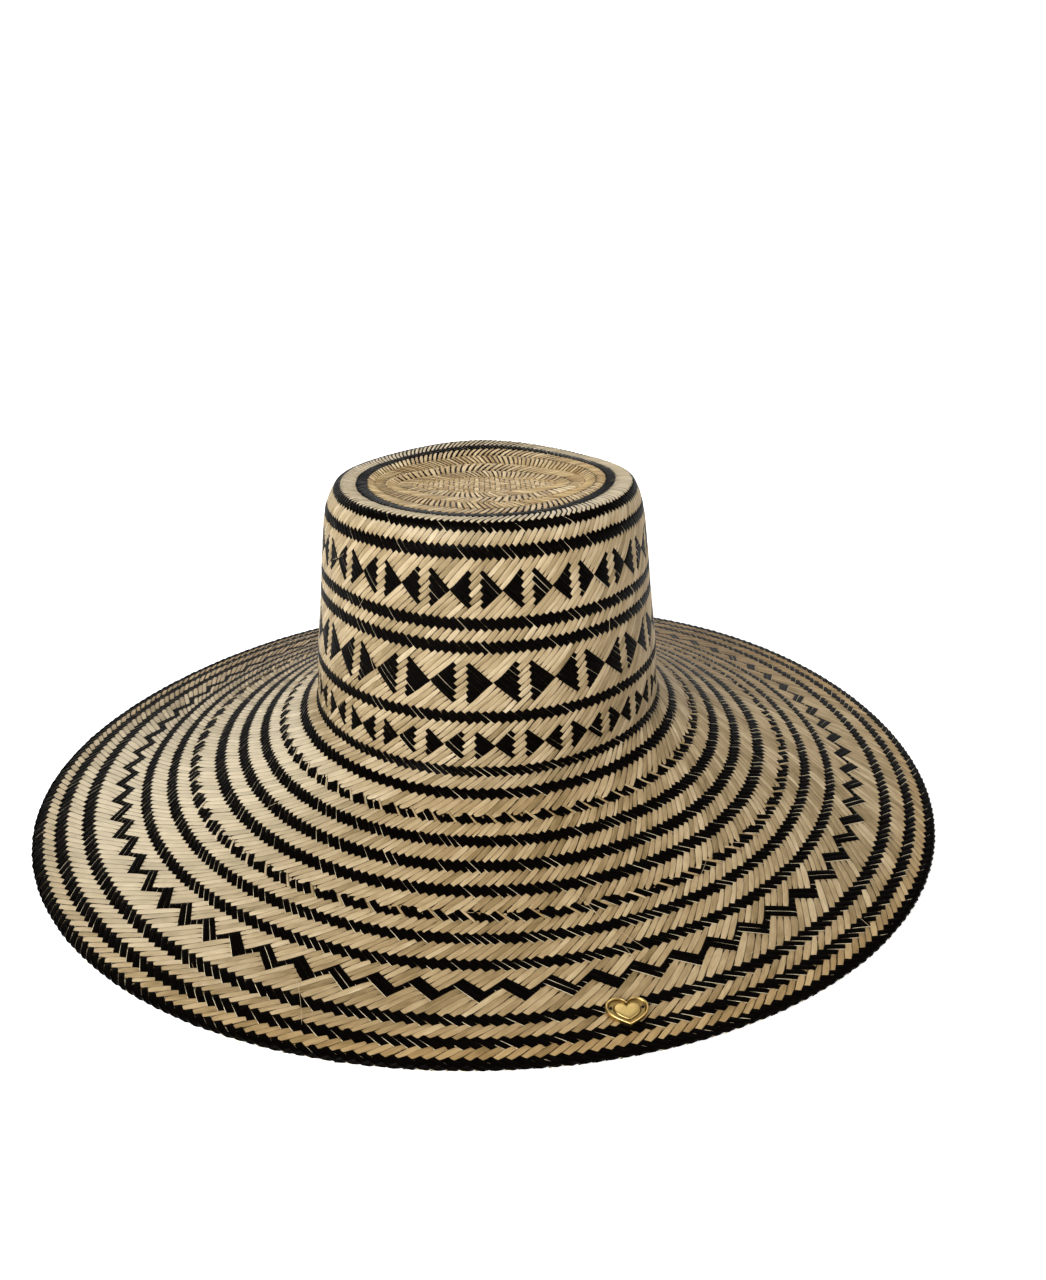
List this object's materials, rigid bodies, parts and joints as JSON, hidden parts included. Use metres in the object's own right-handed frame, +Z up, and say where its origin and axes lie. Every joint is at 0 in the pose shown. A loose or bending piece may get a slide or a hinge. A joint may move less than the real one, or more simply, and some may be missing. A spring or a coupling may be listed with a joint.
{
  "type": "straw hat",
  "caption": "Wide-brimmed woven straw hat with an oval flat-topped crown, black geometric weave patterns and a small heart charm on the brim.",
  "frame": {"origin": "on the floor under the middle of the hat, at the bottom centre of its bounding box", "axes": "+Z up through the crown, -Y towards the front, +X to the right as seen from the front"},
  "size_m": [0.464, 0.46, 0.1567],
  "materials": {
    "natural_and_black_straw": "woven flat strips, natural tan and dyed black, slightly glossy",
    "polished_brass": "polished"
  },
  "bodies": {
    "root": {"woven_body": "natural_and_black_straw", "heart_charm": "polished_brass"}
  },
  "joints": []
}
